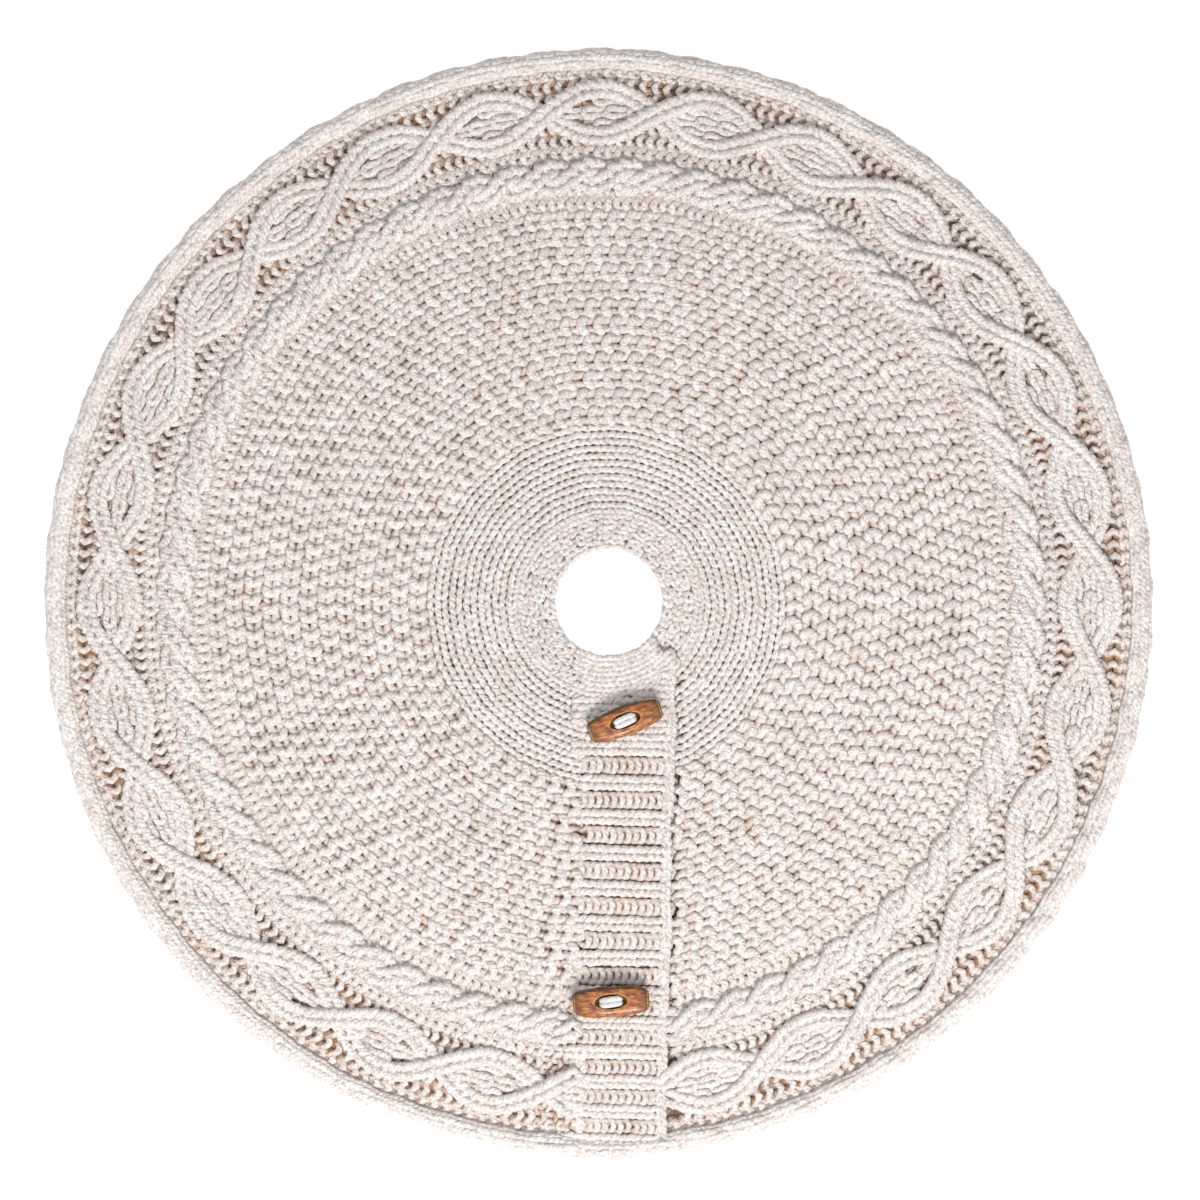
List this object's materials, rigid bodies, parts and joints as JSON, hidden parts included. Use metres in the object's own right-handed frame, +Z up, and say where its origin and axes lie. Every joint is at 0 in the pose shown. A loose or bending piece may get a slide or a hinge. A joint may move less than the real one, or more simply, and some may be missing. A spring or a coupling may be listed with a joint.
{
  "type": "tree skirt",
  "caption": "Round chunky cable-knit tree skirt with an off-centre trunk hole, a rib-knit slit closure that folds back, and wooden toggles on yarn shanks.",
  "frame": {"origin": "middle of the outer rim, on the face that lies on the floor", "axes": "+Z up out of the cloth, the slit closure runs along -Y, the overlap opens towards -X"},
  "size_m": [0.9134, 0.9137, 0.037],
  "materials": {
    "cable_knit": "fuzzy chunky cream yarn, matt",
    "rib_knit": "fuzzy chunky cream yarn knitted in rib, matt",
    "toggle_yarn": "wound white yarn, matt",
    "toggle_wood": "varnished orange-brown wood with dark ends"
  },
  "bodies": {
    "skirt": {"hem_roll": "cable_knit", "hem_gutter": "cable_knit", "diamond_cable": "cable_knit", "cable_channel": "cable_knit", "rope_cable": "cable_knit", "rope_gutter": "cable_knit", "moss_field": "cable_knit", "stockinette_yoke": "cable_knit", "inner_collar": "cable_knit", "underlap_band": "rib_knit", "inner_yarn_knot": "toggle_yarn", "outer_yarn_knot": "toggle_yarn"},
    "overlap": {"overlap_neck": "rib_knit", "inner_buttonhole": "rib_knit", "overlap_middle": "rib_knit", "outer_buttonhole": "rib_knit", "overlap_hem": "rib_knit"},
    "inner_yarn": {"inner_shank": "toggle_yarn"},
    "inner_bar": {"inner_toggle": "toggle_wood", "inner_toggle_stitch": "toggle_yarn"},
    "outer_yarn": {"outer_shank": "toggle_yarn"},
    "outer_bar": {"outer_toggle": "toggle_wood", "outer_toggle_stitch": "toggle_yarn"}
  },
  "joints": [
    {"name": "overlap_lift", "type": "hinge", "parent": "skirt", "child": "overlap", "pos_m": [-0.01654, -0.24943, 0.019], "axis": [-0.0262, -0.9997, 0], "range_deg": [0, 175], "deforming": ["inner_buttonhole", "outer_buttonhole"]},
    {"name": "inner_toggle_swivel", "type": "hinge", "parent": "skirt", "child": "inner_yarn", "pos_m": [0.02187, -0.09678, 0], "axis": [0, 0, 1], "range_deg": [-90, 90]},
    {"name": "inner_toggle_rock", "type": "hinge", "parent": "inner_yarn", "child": "inner_bar", "pos_m": [0.02187, -0.09678, 0.019], "axis": [-0.342, 0.9397, 0], "range_deg": [-8, 8], "stiffness_Nm_per_rad": 0.01},
    {"name": "outer_toggle_swivel", "type": "hinge", "parent": "skirt", "child": "outer_yarn", "pos_m": [0.01031, -0.32799, 0], "axis": [0, 0, 1], "range_deg": [-90, 90]},
    {"name": "outer_toggle_rock", "type": "hinge", "parent": "outer_yarn", "child": "outer_bar", "pos_m": [0.01031, -0.32799, 0.019], "axis": [-0.0698, 0.9976, 0], "range_deg": [-8, 8], "stiffness_Nm_per_rad": 0.01}
  ]
}
